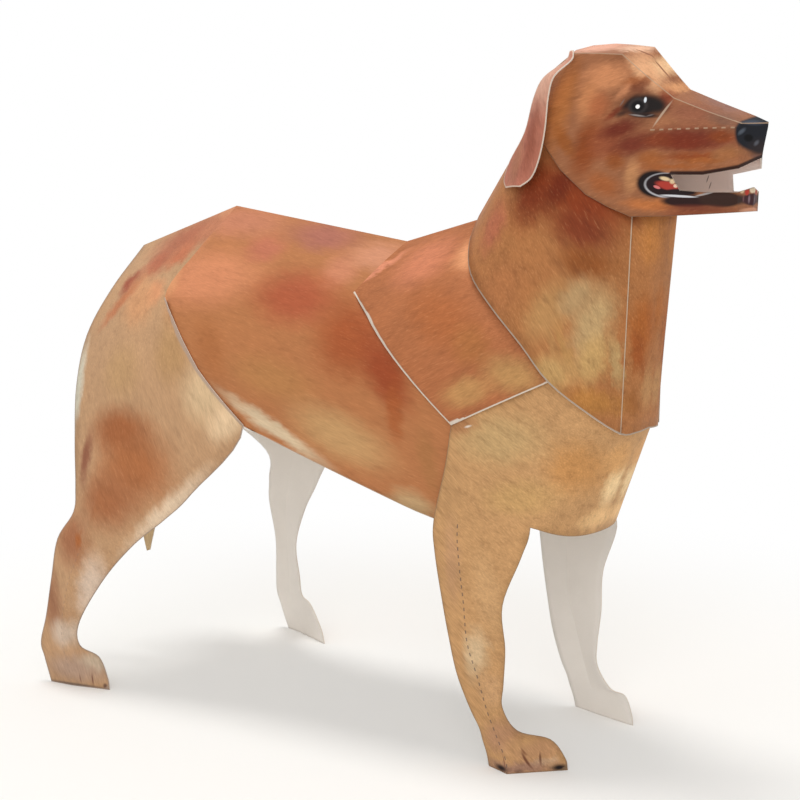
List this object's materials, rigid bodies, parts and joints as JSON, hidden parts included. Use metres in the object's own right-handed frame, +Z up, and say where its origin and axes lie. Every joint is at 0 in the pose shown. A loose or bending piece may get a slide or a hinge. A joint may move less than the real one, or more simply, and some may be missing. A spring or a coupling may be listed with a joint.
{
  "type": "folded card dog model",
  "caption": "Standing dog folded from printed card: an open trunk with thin legs, a tapering neck, a roofed head with a cut-out mouth, hanging ears and a flat tail.",
  "frame": {"origin": "on the ground under the middle of the model's box", "axes": "+X towards the nose, +Y to the dog's left, +Z up"},
  "size_m": [0.2052, 0.0816, 0.1745],
  "materials": {
    "body_card": "printed matt card",
    "chest_card": "printed matt card",
    "neck_card": "printed matt card",
    "head_card": "printed matt card",
    "ear_card": "printed matt card",
    "tail_card": "printed matt card"
  },
  "bodies": {
    "root": {"body_sheet": "body_card", "chest_sheet": "chest_card", "neck_sheet": "neck_card", "head_sheet": "head_card", "ear_right": "ear_card", "ear_left": "ear_card", "tail_sheet": "tail_card"}
  },
  "joints": []
}
